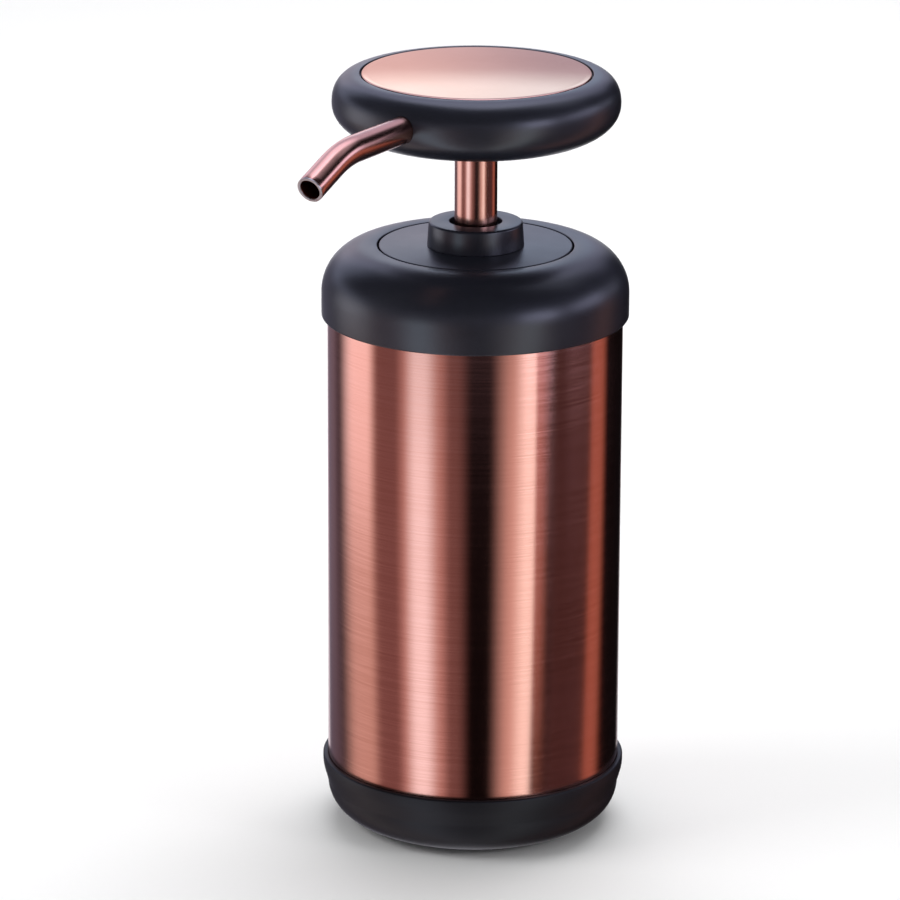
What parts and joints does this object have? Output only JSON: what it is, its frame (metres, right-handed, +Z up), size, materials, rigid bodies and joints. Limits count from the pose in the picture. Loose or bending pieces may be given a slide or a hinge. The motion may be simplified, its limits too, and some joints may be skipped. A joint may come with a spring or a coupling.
{
  "type": "pump soap dispenser",
  "caption": "Free-standing liquid soap dispenser with a metal-sleeved bottle, a lift-off lid and a sprung press pump with a turning spout.",
  "frame": {"origin": "centre of the foot pad's underside, on the bottle's axis, at table height", "axes": "+Z up along the bottle's axis, the spout points to -Y at rest"},
  "size_m": [0.0749, 0.1135, 0.1899],
  "materials": {
    "brushed_copper": "copper-coloured steel, brushed round the sleeve",
    "polished_copper": "bright copper-coloured plating",
    "black_plastic": "black moulded plastic, satin",
    "clear_plastic": "natural translucent plastic",
    "white_plastic": "natural white plastic",
    "grey_plastic": "grey moulded plastic",
    "seal_rubber": "soft grey seal",
    "foot_rubber": "black non-slip pad",
    "bright_steel": "stainless spring wire and balls"
  },
  "bodies": {
    "bottle": {"foot_pad": "foot_rubber", "base_cup": "black_plastic", "sleeve": "brushed_copper", "inner_bottle": "clear_plastic", "shoulder_cap": "black_plastic"},
    "pump": {"closure_lid": "black_plastic", "lid_gasket": "seal_rubber", "pump_nut": "black_plastic", "flange_gasket": "seal_rubber", "guide_bush": "black_plastic", "pump_body": "clear_plastic", "ball_cage": "white_plastic", "dip_tube": "clear_plastic", "return_spring": "bright_steel"},
    "inlet_valve": {"inlet_ball": "bright_steel"},
    "plunger": {"piston": "white_plastic", "stem": "white_plastic", "stem_sleeve": "polished_copper"},
    "outlet_valve": {"outlet_ball": "bright_steel"},
    "head": {"head_shell": "black_plastic", "head_base": "black_plastic", "elbow": "grey_plastic", "spout": "polished_copper", "spout_seal": "seal_rubber", "disc_pad": "seal_rubber", "head_disc": "polished_copper"}
  },
  "joints": [
    {"name": "lid_lift", "type": "slide", "parent": "bottle", "child": "pump", "axis": [0, 0, 1], "range_m": [0, 0.15]},
    {"name": "pump_press", "type": "slide", "parent": "pump", "child": "plunger", "axis": [0, 0, -1], "range_m": [0, 0.018], "stiffness_N_per_m": 450, "springref_m": -0.015, "deforming": ["return_spring"]},
    {"name": "head_turn", "type": "hinge", "parent": "plunger", "child": "head", "pos_m": [0, 0, 0.18], "axis": [0, 0, 1], "continuous": true},
    {"name": "inlet_valve_lift", "type": "slide", "parent": "pump", "child": "inlet_valve", "axis": [0, 0, 1], "range_m": [0, 0.002]},
    {"name": "outlet_valve_lift", "type": "slide", "parent": "plunger", "child": "outlet_valve", "axis": [0, 0, 1], "range_m": [0, 0.0014]}
  ]
}
